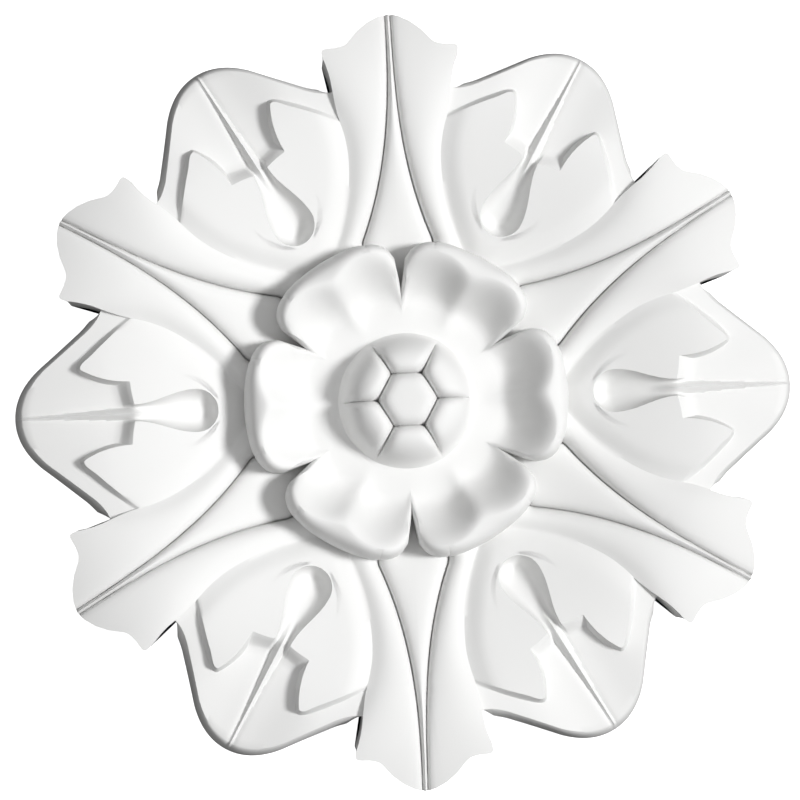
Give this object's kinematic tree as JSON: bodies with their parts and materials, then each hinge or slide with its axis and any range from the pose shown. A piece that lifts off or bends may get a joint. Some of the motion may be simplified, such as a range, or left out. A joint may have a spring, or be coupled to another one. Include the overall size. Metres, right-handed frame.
{
  "type": "ceiling rose",
  "caption": "Round moulded ceiling rose with carved acanthus leaves, rounded back leaves, a petalled rosette and a beaded boss on a flat back.",
  "frame": {"origin": "centre of the flat back that is bonded to the ceiling", "axes": "+Z out of the carved face, +Y along the axis of a main leaf, +X along the axis of a back leaf"},
  "size_m": [0.3, 0.2968, 0.036],
  "materials": {
    "white_primer": "smooth matte white primer"
  },
  "bodies": {
    "root": {"ceiling_rose": "white_primer"}
  },
  "joints": []
}
